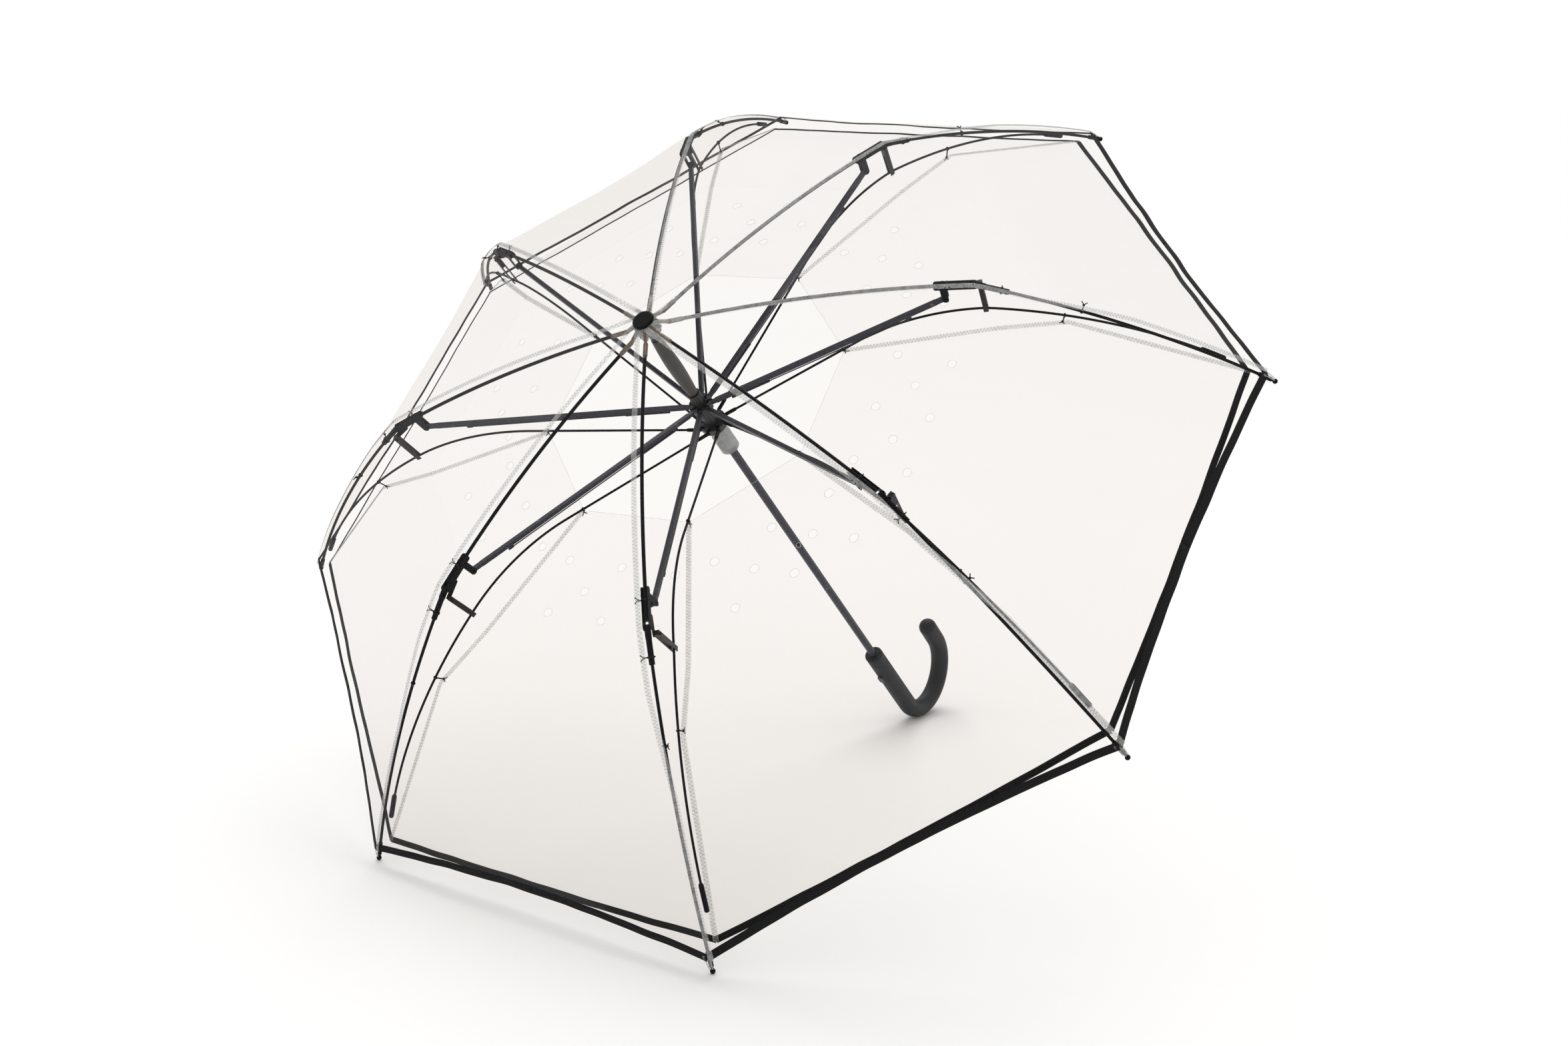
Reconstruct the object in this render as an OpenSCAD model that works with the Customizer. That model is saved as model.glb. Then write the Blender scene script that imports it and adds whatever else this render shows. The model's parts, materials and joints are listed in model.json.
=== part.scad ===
/* [Frame] */
// Radius of the circle through the eight rib tips
tip_r = 500; // [460:5:540]
// Depth of the tips below the crown plane
tip_drop = 243; // [220:1:260]
// Radius of the knuckle circle, where each main rib bends
knuckle_r = 285; // [270:1:300]
// Depth of the knuckles below the crown plane
knuckle_drop = 48.5; // [44:0.5:54]
// Turn of the tips around the shaft, from the knuckles
tip_twist = 1.83; // [0:0.01:2.5]
// Bend of the fibreglass rod between crown and knuckle
inner_bend = 15; // [10:1:18]
// Bend of the fibreglass rod between knuckle and tip
outer_bend = 16.5; // [12:0.5:20]
// Diameter of the inner main rod
inner_rod_d = 3.2; // [2.8:0.1:3.4]
// Diameter of the outer main rod
outer_rod_d = 2.8; // [2.4:0.1:3.2]
// Diameter of the second, thinner rods
thin_rod_d = 2.2; // [1.8:0.1:2.4]
// Diameter of the ball on each rib tip
tip_ball_d = 4.8; // [4:0.2:6]

/* [Shaft] */
// Outer diameter of the shaft tube
shaft_d = 8; // [7.6:0.1:8.2]
// Wall thickness of the shaft tube
shaft_wall = 0.7; // [0.5:0.1:1]
// Diameter of the crown cap
cap_d = 20; // [18:0.5:21]
// Radius of the pivot rings on the crown and on the runner
pivot_r = 9; // [8.8:0.1:9.2]
// Largest diameter of the stop sleeve on the shaft
sleeve_d = 13.8; // [12:0.2:14]

/* [Linkage] */
// Radius of the stretcher eyes, which hang from the ribs
stretcher_r = 257; // [254:1:259]
// Depth of the stretcher eyes below the crown plane
stretcher_drop = 56; // [54:1:58]
// Radius of the bracket ends, which carry the thin rods
bracket_end_r = 283.5; // [281:0.5:286]
// Depth of the bracket ends below the crown plane
bracket_end_drop = 86.5; // [84:0.5:88]
// Depth of the thin rods' ring below the crown plane
thin_ring_drop = 143.5; // [141:0.5:145]
// Angle between rib chord and shaft when the umbrella is shut
shut_angle = 0.5; // [0.2:0.1:1.5]

/* [Handle] */
// Diameter of the crook handle
handle_d = 20; // [18:0.5:21]
// Straight length of the handle above its bend
stem_l = 112; // [100:1:125]
// Centre-line radius of the crook
crook_r = 43.5; // [40:0.5:48]
// Straight length between the crook's half circle and its rounded end
leg_l = 26; // [15:1:40]
// Direction of the hook around the shaft
hook_turn = 91; // [75:1:105]
// How far the button stands proud
button_rise = 2; // [1.6:0.1:2.4]

/* [Canopies] */
// Thickness of the clear film
film_t = 0.5; // [0.4:0.1:0.6]
// Distance from rod centre to the outer film
film_gap = 4.4; // [4.2:0.1:5]
// Share of the panel length that each outer hem curves in at its middle
hem_sag = 0.022; // [0.01:0.002:0.05]
// Radius of the round opening in the inner canopy
vent_r = 148; // [144:1:152]

/* [Hidden] */
N = 8;
STEP = 360 / N;
$fn = 48;

// A plane point is [radius, drop]: distance from the shaft's axis and depth below the crown plane.
// In a rib's plane X is the radius and Y the height. The crown pivots stand PIVOT_LIFT above the crown plane.
PIVOT_LIFT = 4;

// The thin rods and their brackets lie to one side of the main ribs
SIDE = 6;

// Pins: radius of the linkage pins, of the knuckle pin and of the small crown and ring pins
PIN_R = 1.1;
KNUCKLE_PIN_R = 1.4;
SMALL_PIN_R = 0.7;
RING_PIN_R = 0.6;

// Radial running clearance of every pivot, and the slack of glued sleeves on the shaft
RUN = 0.05;
GLUE = 0.02;

// Rib fittings: eye, sleeve and cheek radii, inner and outer faces of the cheeks, widths of tongues and tabs
EYE_R = 2.9;
SLEEVE_R = 2.5;
CHEEK_R = 2.6;
CHEEK_IN = 2.3;
CHEEK_OUT = 3.1;
TONGUE_W = 4;
CHEEK_T = CHEEK_OUT - CHEEK_IN;
CROWN_TAB_R = 1.6;
CROWN_TAB_W = 1.8;
TAB_W = 3.6;
CUT = 5;

CROWN = [pivot_r, -PIVOT_LIFT];
ROOT = [20, 0.8];
KNUCKLE = [knuckle_r, knuckle_drop];
EYE = [stretcher_r, stretcher_drop];
HUB = [pivot_r, 2 * EYE[1] - CROWN[1]];
THIN_RING = [11, thin_ring_drop];
BRACKET_TOP = [knuckle_r + 3, knuckle_drop + 7.5];
BRACKET_END = [bracket_end_r, bracket_end_drop];

// The tips lie a little round from the knuckles, so each outer rib stands in a plane of its own.
TIP_X = tip_r * cos(tip_twist) - knuckle_r;
TIP_Y = -tip_r * sin(tip_twist);
OUTER_YAW = atan2(TIP_Y, TIP_X);
TIP = [knuckle_r + norm([TIP_X, TIP_Y]), tip_drop];
CLAMP = [knuckle_r + 176, tip_drop - 39];

RUNNER_TOP = HUB[1] - 18;
RUNNER_END = HUB[1] + 66;
RUNNER_BODY_END = THIN_RING[1] + 9;
TRAVEL = 2 * norm(EYE - CROWN) * (cos(shut_angle) - sin(atan2(EYE[1] - CROWN[1], EYE[0] - CROWN[0])));
HANDLE_TOP = RUNNER_END + TRAVEL + 2;
SHAFT_IN_HANDLE = 60;
BEND_DROP = HANDLE_TOP + stem_l;
BUTTON_DROP = HANDLE_TOP + 38;

// Geometry helpers

function heading(p, q) = atan2(q[1] - p[1], q[0] - p[0]);
function arc_radius(p, q, bend) = norm(q - p) / (2 * sin(bend / 2));
function arc_centre(p, q, bend) =
    let (s = heading(p, q) - bend / 2, r = arc_radius(p, q, bend)) p + r * [-sin(s), cos(s)];

// Point a share t of the way along an arc, moved out by a distance
function arc_point(p, q, bend, t, out = 0) =
    let (s = heading(p, q) - bend / 2 + bend * t, r = arc_radius(p, q, bend))
        arc_centre(p, q, bend) + (r + out) * [sin(s), -cos(s)];

// Height of the lowest point of tips and crook when the shaft leans back by an angle
function tip_low(lean) =
    -tip_r * cos(STEP / 2) * sin(lean) - tip_drop * cos(lean) - tip_ball_d / 2;
function crook_low(lean) =
    let (a = crook_r * sin(hook_turn) * sin(lean), b = crook_r * cos(lean))
        a - norm([a, b]) - BEND_DROP * cos(lean) - handle_d / 2;
function find_lean(lo, hi, left) =
    let (mid = (lo + hi) / 2)
        left == 0 ? mid
        : tip_low(mid) > crook_low(mid) ? find_lean(mid, hi, left - 1) : find_lean(lo, mid, left - 1);

LEAN = find_lean(30, 65, 40);
LOW = tip_low(LEAN);

function turned(v, a) = [v[0] * cos(a) - v[1] * sin(a), v[0] * sin(a) + v[1] * cos(a), v[2]];
function azimuth(i) = STEP / 2 + tip_twist - STEP * (i - 1);

// Place in the shaft's frame of a point in a rib's plane; beyond the knuckle the plane is yawed
function in_space(i, p, side = 0) =
    let (beyond = max(0, p[0] - knuckle_r), along = min(p[0], knuckle_r) + beyond * cos(OUTER_YAW))
        turned([along, side + beyond * sin(OUTER_YAW), -p[1]], azimuth(i));

// Outlines of the two films

CROWN_FILM = [[5.2, -6.5], [13, -6.5], [22, -5.2]];
V_INNER = 8;
V_OUTER = 10;
U_STEPS = 8;

// Outline of the outer film over a rib, from the crown to the corner by the tip
OUTER_LINE = concat(
    CROWN_FILM,
    [for (k = [1:V_INNER]) arc_point(ROOT, KNUCKLE, inner_bend, 0.03 + 0.97 * k / V_INNER, film_gap)],
    [for (k = [1:V_OUTER]) arc_point(KNUCKLE, TIP, outer_bend, 0.96 * k / V_OUTER, film_gap)]
);

// Outline of the inner film under a thin rod, straight between its three ties
VENT_TIE = [vent_r, 97];
MID_TIE = [346, 124];
END_TIE = [481, tip_drop - 12];
INNER_LINE = concat(
    [for (k = [0:4]) VENT_TIE + (MID_TIE - VENT_TIE) * k / 5],
    [for (k = [0:4]) MID_TIE + (END_TIE - MID_TIE) * k / 4]
);

// Moves the umbrella from upright on its shaft to lying on two tips and the crook, centred on its box
module lay_down() {
    translate([0, -(FRONT + BACK) / 2, -LOW]) rotate([LEAN, 0, 0]) children();
}

// Foremost and hindmost places of the leaning umbrella: a rib's film in front, the crook behind
function forward(p) = p[1] * cos(LEAN) - p[2] * sin(LEAN);
FRONT = min([for (i = [1:N]) for (p = OUTER_LINE) forward(in_space(i, p))]);
BACK =
    let (a = crook_r * sin(hook_turn) * cos(LEAN), b = crook_r * sin(LEAN))
        BEND_DROP * sin(LEAN) + a + norm([a, b]) + handle_d / 2;

// A rib's plane: X is the radius, Y the height and Z points to the clockwise side
module rib_plane(i, side = 0) {
    rotate([0, 0, azimuth(i)]) rotate([90, 0, 0]) translate([0, 0, -side]) children();
}

module outer_plane(i, side = 0) {
    rotate([0, 0, azimuth(i)])
        translate([knuckle_r, 0, 0]) rotate([0, 0, OUTER_YAW]) translate([-knuckle_r, 0, 0])
            rotate([90, 0, 0]) translate([0, 0, -side]) children();
}

// Puts children at a plane point, with X along a heading that points downwards when positive
module at(p, aim = 0) {
    translate([p[0], -p[1], 0]) rotate([0, 0, -aim]) children();
}

module arc_rod(p, q, bend, d, from = 0, to = 1) {
    c = arc_centre(p, q, bend);
    s = heading(p, q) - bend / 2 + bend * to;
    at(c) rotate([0, 0, 90 - s])
        rotate_extrude(angle = bend * (to - from), $fn = 96)
            translate([arc_radius(p, q, bend), 0]) circle(d = d, $fn = 32);
}

module rod(p, q, d) {
    at(p, heading(p, q)) rotate([0, 90, 0]) cylinder(d = d, h = norm(q - p), $fn = 32);
}

module pin(p, r, lo, hi) {
    translate([p[0], -p[1], lo]) cylinder(r = r, h = hi - lo, $fn = 32);
}

module plate(points, lo, hi, round_r) {
    translate([0, 0, lo]) linear_extrude(hi - lo)
        hull() for (p = points) translate([p[0], -p[1]]) circle(r = round_r, $fn = 32);
}

// Straight pressed channel from the origin along X, open on its lower side
module channel(l, w, h, wall) {
    difference() {
        translate([0, -h / 2, -w / 2]) cube([l, h, w]);
        translate([wall, -h / 2 - 1, -w / 2 + wall]) cube([l - 2 * wall, h - wall + 1, w - 2 * wall]);
    }
}

// Shaft and crown

module shaft() {
    bottom = HANDLE_TOP + SHAFT_IN_HANDLE;
    top = 5;
    color([0.24, 0.24, 0.28]) lay_down() translate([0, 0, -bottom]) difference() {
        cylinder(d = shaft_d, h = bottom + top);
        translate([0, 0, -CUT]) cylinder(d = shaft_d - 2 * shaft_wall, h = bottom + top + 2 * CUT);
    }
}

// Coil spring inside the tube that opens the frame: a square wire swept along a helix
SPRING_TURNS = 30;
SPRING_SEGMENTS = 8;
SPRING_R = shaft_d / 2 - shaft_wall - 1;
SPRING_PITCH = 5;
SPRING_WIRE = 0.5;
SPRING_END = 320;

function spring_corner(k, c) =
    let (turn = 360 * k / SPRING_SEGMENTS,
        r = SPRING_R + SPRING_WIRE * cos(45 + 90 * c),
        z = -SPRING_END + SPRING_PITCH * k / SPRING_SEGMENTS + SPRING_WIRE * sin(45 + 90 * c))
        [r * cos(turn), r * sin(turn), z];

module opening_spring() {
    last = SPRING_TURNS * SPRING_SEGMENTS;
    color([0.6, 0.6, 0.62]) lay_down() polyhedron(
        [for (k = [0:last]) for (c = [0:3]) spring_corner(k, c)],
        split(concat(
            [[0, 1, 2, 3]],
            [for (k = [0:last - 1]) for (c = [0:3])
                [4 * k + c, 4 * k + 4 + c, 4 * k + 4 + (c + 1) % 4, 4 * k + (c + 1) % 4]],
            [[4 * last + 3, 4 * last + 2, 4 * last + 1, 4 * last]]
        ))
    );
}

module crown_notch() {
    low = -7;
    high = 6;
    slot_w = 2.4;
    slot_floor_r = shaft_d / 2 + 1.4;
    color([0.85, 0.87, 0.88, 0.6]) lay_down() {
        difference() {
            translate([0, 0, low]) cylinder(r = pivot_r + 2.2, h = high - low);
            translate([0, 0, low - CUT]) cylinder(d = shaft_d + 2 * GLUE, h = high - low + 2 * CUT);
            for (i = [1:N])
                rib_plane(i) translate([slot_floor_r, low - CUT, -slot_w / 2])
                    cube([pivot_r, high - low + 2 * CUT, slot_w]);
        }
        for (i = [1:N]) rib_plane(i) pin(CROWN, SMALL_PIN_R, -slot_w / 2 - 0.1, slot_w / 2 + 0.1);
    }
}

module crown_cap() {
    low = 7;
    top = 9.8;
    chamfer = 0.5;
    edge_r = 1.4;
    color([0.05, 0.05, 0.06]) lay_down() rotate_extrude($fn = 96)
        polygon(concat(
            [[0, low], [cap_d / 2 - chamfer, low], [cap_d / 2, low + chamfer]],
            [for (a = [0:15:90]) [cap_d / 2 - edge_r + edge_r * cos(a), top - edge_r + edge_r * sin(a)]],
            [[0, top]]
        ));
}

module stop_sleeve() {
    first = 18;
    last = RUNNER_TOP - 1;
    bore_r = shaft_d / 2 + GLUE;
    end_r = bore_r + 0.7;
    bulge = sleeve_d / 2 - end_r;
    color([0.19, 0.19, 0.22]) lay_down() rotate_extrude($fn = 64)
        polygon(concat(
            [[bore_r, -first], [bore_r, -last]],
            [for (t = [1:-0.1:0]) [end_r + bulge * sin(180 * t), -first - (last - first) * t]]
        ));
}

// Runner

module runner() {
    ring_h = 6;
    neck_r = 6.2;
    body_r = 7.5;
    flute_r = 1.1;
    slot_w = TAB_W + 0.6;
    thin_slot_w = 3.2;
    deep = 20;
    color([0.12, 0.12, 0.14]) lay_down() {
        difference() {
            union() {
                translate([0, 0, -HUB[1] - ring_h / 2]) cylinder(r = pivot_r + 2.6, h = ring_h);
                translate([0, 0, -THIN_RING[1] - ring_h / 2]) cylinder(r = THIN_RING[0] + 2.4, h = ring_h);
                translate([0, 0, -RUNNER_BODY_END]) cylinder(r = body_r, h = RUNNER_BODY_END - RUNNER_TOP);
            }
            translate([0, 0, -RUNNER_END]) cylinder(r = shaft_d / 2 + RUN, h = RUNNER_END - RUNNER_TOP + CUT);
            translate([0, 0, -HUB[1] + ring_h / 2]) difference() {
                cylinder(r = body_r + 1, h = deep);
                cylinder(r = neck_r, h = deep);
            }
            for (i = [1:N]) {
                rotate([0, 0, azimuth(i) + STEP / 2])
                    translate([neck_r + 0.6, 0, -HUB[1] + 4]) cylinder(r = flute_r, h = deep);
                rib_plane(i) translate([neck_r + 0.1, -HUB[1] - 4, -slot_w / 2]) cube([deep, deep, slot_w]);
                rib_plane(i, SIDE)
                    translate([7, -THIN_RING[1] - 2, -thin_slot_w / 2]) cube([deep, 6, thin_slot_w]);
            }
        }
        for (i = [1:N]) {
            rib_plane(i) pin(HUB, PIN_R, -slot_w / 2 - 0.2, slot_w / 2 + 0.2);
            rib_plane(i, SIDE) pin(THIN_RING, RING_PIN_R, -thin_slot_w / 2 - 0.3, thin_slot_w / 2 + 0.3);
        }
    }
}

module runner_collar() {
    top = RUNNER_BODY_END + 0.1;
    barrel = top + 8;
    barrel_r = 9.4;
    neck_r = 6.8;
    window = [10, 6, 9];
    color([0.82, 0.84, 0.86, 0.5]) lay_down() difference() {
        union() {
            translate([0, 0, -RUNNER_END]) cylinder(r = barrel_r, h = RUNNER_END - barrel);
            translate([0, 0, -barrel]) cylinder(r1 = barrel_r, r2 = neck_r, h = 3);
            translate([0, 0, -barrel]) cylinder(r = neck_r, h = barrel - top);
        }
        translate([0, 0, -RUNNER_END - CUT]) cylinder(r = shaft_d / 2 + RUN, h = RUNNER_END);
        translate([0, 0, -RUNNER_END + 6]) rotate([0, 0, hook_turn + 180])
            translate([shaft_d / 2 + 1.2, -window[1] / 2, 0]) cube(window);
    }
}

// Handle

// The bent part of the handle, from the end of its stem to its rounded end
module crook() {
    translate([crook_r, 0, -BEND_DROP]) rotate([90, 0, 0]) rotate([0, 0, 180])
        rotate_extrude(angle = 180, $fn = 96) translate([crook_r, 0]) circle(d = handle_d);
    translate([2 * crook_r, 0, -BEND_DROP]) cylinder(d = handle_d, h = leg_l);
    translate([2 * crook_r, 0, -BEND_DROP + leg_l]) sphere(d = handle_d);
}

module handle() {
    chamfer = 1.5;
    color([0.24, 0.24, 0.26]) lay_down() difference() {
        rotate([0, 0, hook_turn]) {
            translate([0, 0, -BEND_DROP]) cylinder(d = handle_d, h = stem_l - chamfer);
            translate([0, 0, -HANDLE_TOP - chamfer])
                cylinder(d1 = handle_d, d2 = handle_d - 2 * chamfer, h = chamfer);
            crook();
        }
        translate([0, 0, -HANDLE_TOP - SHAFT_IN_HANDLE - 0.5])
            cylinder(d = shaft_d + 2 * GLUE, h = SHAFT_IN_HANDLE + CUT);
        button_pocket();
    }
}

BUTTON_R = 3.2;
BUTTON_REACH = 3;

// Rounded oblong around the button's centre, along the button's own axis
module button_block(grow, from, to) {
    rotate([0, 0, hook_turn + 180]) translate([from, 0, -BUTTON_DROP]) rotate([0, 90, 0])
        linear_extrude(to - from) hull() {
            translate([BUTTON_REACH, 0]) circle(r = BUTTON_R + grow);
            translate([-BUTTON_REACH, 0]) circle(r = BUTTON_R + grow);
        }
}

module button_pocket() {
    button_block(0.3, shaft_d / 2 + 1, handle_d / 2 + 5);
}

module push_button() {
    color([0.2, 0.2, 0.22]) lay_down() button_block(0, shaft_d / 2 + 3, handle_d / 2 + button_rise);
}

// Main ribs

module cheek(points, round_r) {
    plate(points, -CHEEK_T / 2, CHEEK_T / 2, round_r);
}

module rib_inner(i) {
    color([0.04, 0.04, 0.045]) lay_down() rib_plane(i) difference() {
        union() {
            arc_rod(ROOT, KNUCKLE, inner_bend, inner_rod_d, 0.03, 0.975);
            arc_rod(ROOT, KNUCKLE, inner_bend, inner_rod_d + 1, 0, 0.05);
            arc_rod(ROOT, KNUCKLE, inner_bend, 2 * SLEEVE_R, 0.875, 0.98);
            plate([CROWN, ROOT], -CROWN_TAB_W / 2, CROWN_TAB_W / 2, CROWN_TAB_R);
            for (side = [-1, 1])
                translate([0, 0, side * (CHEEK_IN + CHEEK_OUT) / 2]) {
                    cheek([KNUCKLE, arc_point(ROOT, KNUCKLE, inner_bend, 0.88)], CHEEK_R);
                    cheek([EYE, arc_point(ROOT, KNUCKLE, inner_bend, 0.9)], EYE_R);
                }
            plate([KNUCKLE - [10, 0], BRACKET_TOP], -CHEEK_OUT, -CHEEK_IN, 2.2);
            yawed() pin(KNUCKLE, KNUCKLE_PIN_R, -CHEEK_OUT - 0.5, CHEEK_OUT + 0.5);
            pin(EYE, PIN_R, -CHEEK_OUT - 0.4, CHEEK_OUT + 0.4);
            pin(BRACKET_TOP, PIN_R, -SIDE - 3.2, -CHEEK_IN);
        }
        pin(CROWN, SMALL_PIN_R + RUN, -CUT, CUT);
        yawed() at(KNUCKLE) translate([0, 0, -CHEEK_IN]) knuckle_room();
    }
}

// Turns children of a rib's plane about the upright line through its knuckle, to face the outer rib
module yawed() {
    translate([knuckle_r, 0, 0]) rotate([0, OUTER_YAW, 0]) translate([-knuckle_r, 0, 0]) children();
}

// Space inside the knuckle that the outer rib's tongue turns in, clear of the pin
module knuckle_room() {
    difference() {
        cylinder(r = 4.2, h = 2 * CHEEK_IN);
        cylinder(r = KNUCKLE_PIN_R, h = 2 * CHEEK_IN);
    }
}

module rib_outer(i) {
    color([0.04, 0.04, 0.045]) lay_down() outer_plane(i) difference() {
        union() {
            arc_rod(KNUCKLE, TIP, outer_bend, outer_rod_d, 0.015, 0.996);
            arc_rod(KNUCKLE, TIP, outer_bend, 2 * SLEEVE_R, 0.022, 0.105);
            arc_rod(KNUCKLE, TIP, outer_bend, outer_rod_d + 1.4, 0.94, 0.985);
            pin(KNUCKLE, CHEEK_R, -TONGUE_W / 2, TONGUE_W / 2);
            plate([KNUCKLE, arc_point(KNUCKLE, TIP, outer_bend, 0.03)], -TONGUE_W / 2, TONGUE_W / 2, 2.1);
            at(TIP) sphere(d = tip_ball_d);
        }
        pin(KNUCKLE, KNUCKLE_PIN_R + RUN, -CUT, CUT);
    }
}

// Stretchers

STRETCHER_W = 4;
TONGUE_HALF = 1.9;

// Thin wire under the channel, with a thicker cover near the runner and a foot at each end
module stay_wire(start, l) {
    below = 5;
    foot = [5, below + 2.5, 1.2];
    translate([start, -below, 0]) rotate([0, 90, 0]) cylinder(d = 1.1, h = l);
    translate([start, -below, 0]) rotate([0, 90, 0]) cylinder(d = 2.2, h = 42);
    for (x = [start + 0.5, start + l - 5.5]) translate([x, -below - 0.9, -foot[2] / 2]) cube(foot);
}

module stretcher(i) {
    l = norm(EYE - HUB);
    aim = heading(HUB, EYE);
    color([0.2, 0.21, 0.24]) lay_down() rib_plane(i) difference() {
        union() {
            at(HUB, aim) {
                translate([7, 0, 0]) channel(l - 17, STRETCHER_W, STRETCHER_W, 0.8);
                translate([0, -1.6, -TAB_W / 2]) cube([9, 3.2, TAB_W]);
                translate([l - 14, -1.8, -TONGUE_HALF]) cube([14, 3.6, 2 * TONGUE_HALF]);
                stay_wire(22, l - 60);
            }
            pin(HUB, 2.2, -TAB_W / 2, TAB_W / 2);
            pin(EYE, EYE_R - 0.4, -TONGUE_HALF, TONGUE_HALF);
        }
        pin(HUB, PIN_R + RUN, -CUT, CUT);
        pin(EYE, PIN_R + RUN, -CUT, CUT);
    }
}

// Brackets and thin rods

BRACKET_W = 4.8;
BRACKET_H = 4.4;

// The bracket is solid at its pivot and forked beyond it, with the thin rod's end between its prongs
module bracket(i) {
    l = norm(BRACKET_END - BRACKET_TOP);
    aim = heading(BRACKET_TOP, BRACKET_END);
    color([0.1, 0.1, 0.11]) lay_down() rib_plane(i, SIDE) difference() {
        at(BRACKET_TOP, aim) difference() {
            translate([-3, -BRACKET_H / 2, -BRACKET_W / 2]) cube([l + 5.6, BRACKET_H, BRACKET_W]);
            translate([11, -BRACKET_H, -BRACKET_W / 2 + 0.8]) cube([l, 2 * BRACKET_H, BRACKET_W - 1.6]);
        }
        pin(BRACKET_TOP, PIN_R + RUN, -CUT, CUT);
    }
}

// The thin rod runs straight from the runner and then arcs over to the bracket
THIN_BEND = 37;
THIN_TURN = [BRACKET_END[0] - 120.5, BRACKET_END[1] + 3.2];
THIN_EYE_W = 2.6;
THIN_ROOT_L = 16;

module thin_inner(i) {
    away = (THIN_TURN - THIN_RING) / norm(THIN_TURN - THIN_RING);
    color([0.04, 0.04, 0.045]) lay_down() rib_plane(i, SIDE) difference() {
        union() {
            pin(THIN_RING, 1.5, -THIN_EYE_W / 2, THIN_EYE_W / 2);
            rod(THIN_RING + 0.9 * away, THIN_TURN + 1.5 * away, thin_rod_d + 0.2);
            rod(THIN_RING + 1.8 * away, THIN_RING + THIN_ROOT_L * away, thin_rod_d + 0.9);
            arc_rod(THIN_TURN, BRACKET_END, THIN_BEND, thin_rod_d);
        }
        pin(THIN_RING, RING_PIN_R + RUN, -CUT, CUT);
    }
}

// The outer thin rod bows from the bracket to the main rib, with a connector sleeve at its far end
THIN_OUTER_BEND = 28;

module thin_outer(i) {
    start = BRACKET_END + [0.6, 0.2];
    color([0.04, 0.04, 0.045]) lay_down() outer_plane(i, SIDE) {
        arc_rod(start, CLAMP, THIN_OUTER_BEND, thin_rod_d, 0, 1);
        arc_rod(start, CLAMP, THIN_OUTER_BEND, thin_rod_d + 1.6, 0.9, 1.03);
    }
}

// Canopies

PANEL_INSET = 0.25;

// Point on an outline at a fractional index
function along(line, v) =
    let (n = len(line) - 1, k = min(n - 1, floor(v * n)), t = v * n - k)
        line[k] * (1 - t) + line[k + 1] * t;

// Point of a panel at a share u of the way to the next rib; the panel keeps an inset from both ribs
function panel_point(i, line, side, sag, u, v) =
    let (p = along(line, v * (1 - sag * 4 * u * (1 - u))),
        a = in_space(i, p, side),
        b = in_space(i + 1, p, side),
        aside = PANEL_INSET * (b - a) / norm(b - a))
        (a + aside) * (1 - u) + (b - aside) * u;

// Two triangles of a four-cornered face
function halves(f) = [[f[0], f[1], f[2]], [f[0], f[2], f[3]]];
function split(faces) = [for (f = faces) each halves(f)];

// One closed panel of film between two ribs: the sheet, and the same sheet moved in by its thickness
module film_panel(i, line, side, sag) {
    m = U_STEPS + 1;
    n = len(line);
    middle = turned([1, 0, 1.2], azimuth(i + 0.5));
    inward = -film_t * middle / norm(middle);
    outer = [for (a = [0:m - 1]) for (b = [0:n - 1])
        panel_point(i, line, side, sag, a / (m - 1), b / (n - 1))];
    points = concat(outer, [for (p = outer) p + inward]);
    s = m * n;
    sheet = [for (a = [0:m - 2]) for (b = [0:n - 2])
        [a * n + b, a * n + b + 1, (a + 1) * n + b + 1, (a + 1) * n + b]];
    rim = concat(
        [for (b = [0:n - 2]) [b, b + 1]],
        [for (a = [0:m - 2]) [(a + 1) * n - 1, (a + 2) * n - 1]],
        [for (b = [n - 1:-1:1]) [(m - 1) * n + b, (m - 1) * n + b - 1]],
        [for (a = [m - 1:-1:1]) [a * n, (a - 1) * n]]
    );
    polyhedron(points, split(concat(
        sheet,
        [for (f = sheet) [f[3] + s, f[2] + s, f[1] + s, f[0] + s]],
        [for (e = rim) [e[1], e[0], e[0] + s, e[1] + s]]
    )));
}

module canopy_outer() {
    color([0.8, 0.84, 0.87, 0.35]) lay_down()
        for (i = [1:N]) film_panel(i, OUTER_LINE, 0, hem_sag);
}

module canopy_inner() {
    color([0.8, 0.84, 0.87, 0.35]) lay_down()
        for (i = [1:N]) film_panel(i, INNER_LINE, SIDE, hem_sag);
}

shaft();
opening_spring();
crown_notch();
crown_cap();
stop_sleeve();
runner();
runner_collar();
handle();
push_button();
canopy_outer();
canopy_inner();
for (i = [1:N]) {
    rib_inner(i);
    rib_outer(i);
    stretcher(i);
    bracket(i);
    thin_inner(i);
    thin_outer(i);
}
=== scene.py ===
"""Looks of the open clear umbrella: films, hems, seams, ties, thin rods and materials round its CAD frame."""

import json
import math

import bpy
from mathutils import Matrix, Vector, noise
from mathutils.geometry import delaunay_2d_cdt


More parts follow.
